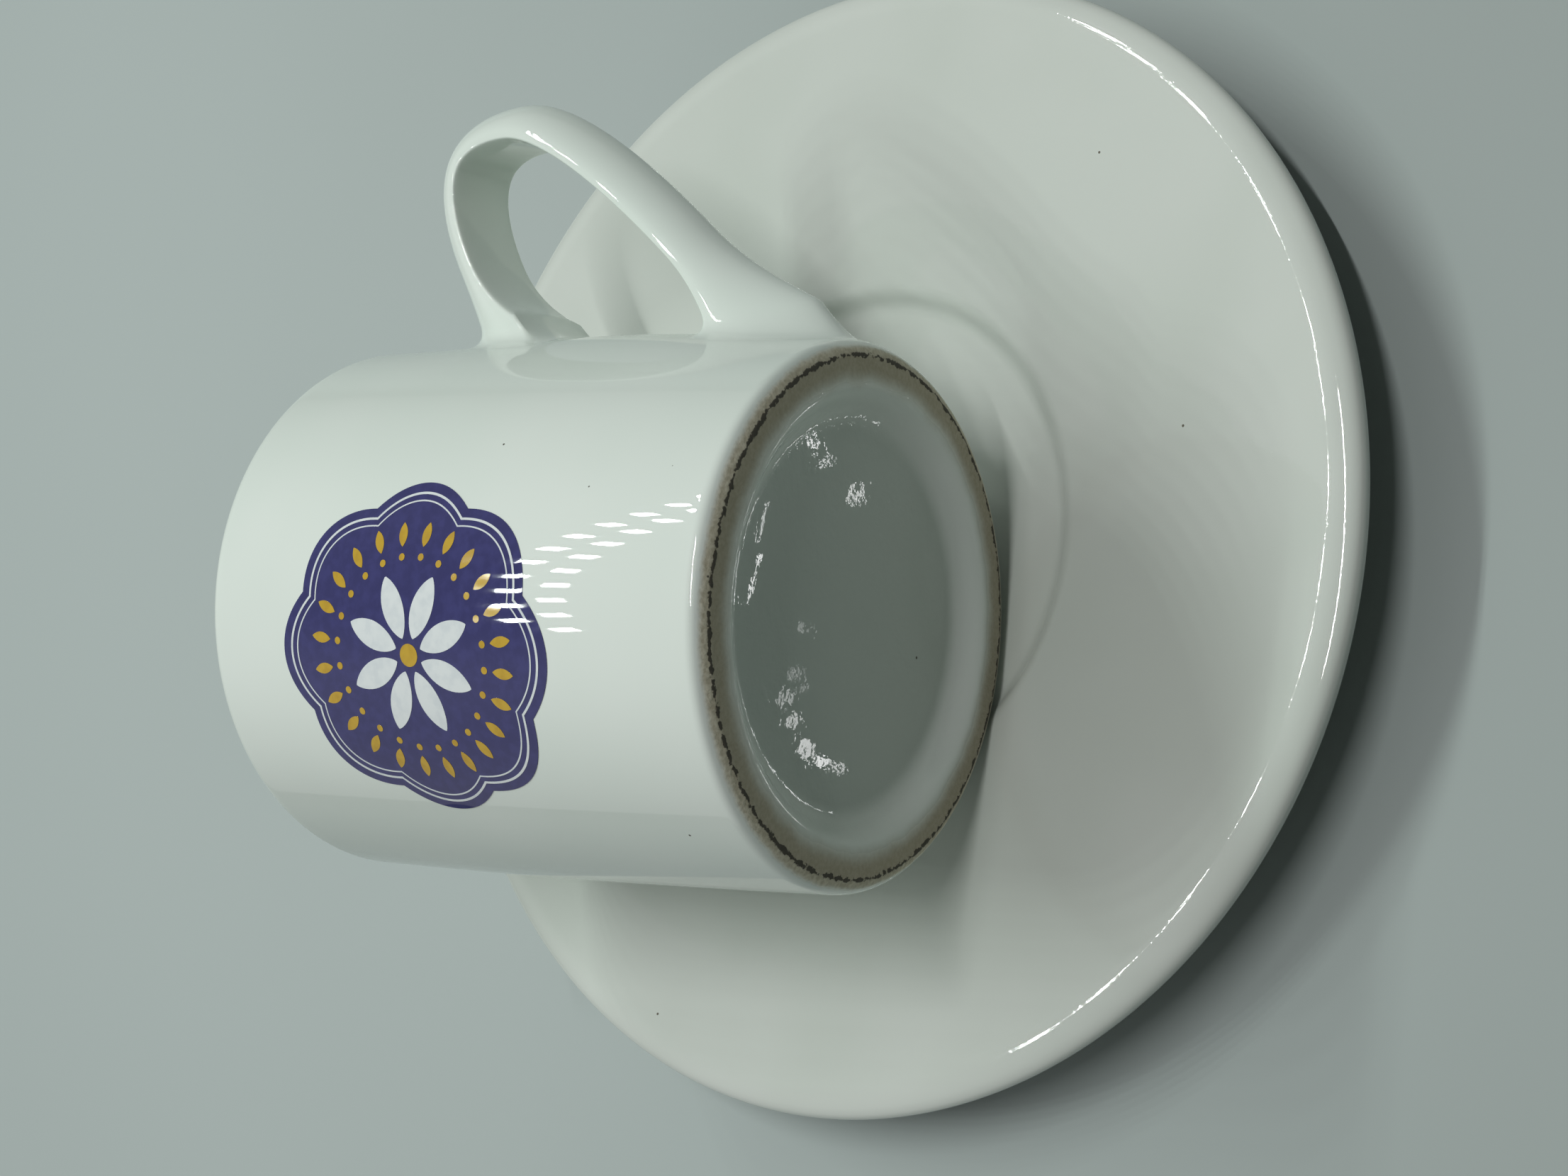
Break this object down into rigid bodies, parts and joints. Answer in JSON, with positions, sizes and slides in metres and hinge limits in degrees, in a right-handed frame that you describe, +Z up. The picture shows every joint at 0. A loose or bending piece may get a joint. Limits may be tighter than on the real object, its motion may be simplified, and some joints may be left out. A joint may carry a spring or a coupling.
{
  "type": "turkish coffee cup",
  "caption": "Small white porcelain coffee cup with a looped handle and a printed medallion, lying on its side on its matching saucer.",
  "frame": {"origin": "middle of the saucer's foot ring, on the surface that the saucer stands on", "axes": "+Z up, +Y the way the lying cup's mouth points in plan, +X the side that its handle points to"},
  "size_m": [0.12, 0.12, 0.0624],
  "materials": {
    "saucer_glaze": "clear gloss glaze over white porcelain, slightly warm",
    "cup_glaze": "clear gloss glaze over white porcelain, bare at the foot",
    "print": "navy, white and gold print fired on the glaze"
  },
  "bodies": {
    "saucer": {"saucer": "saucer_glaze"},
    "cup": {"cup_body": "cup_glaze", "cup_handle": "cup_glaze", "front_medallion": "print"}
  },
  "joints": [
    {"name": "cup_lift", "type": "slide", "parent": "saucer", "child": "cup", "axis": [0, 0, 1], "range_m": [0, 0.06]}
  ]
}
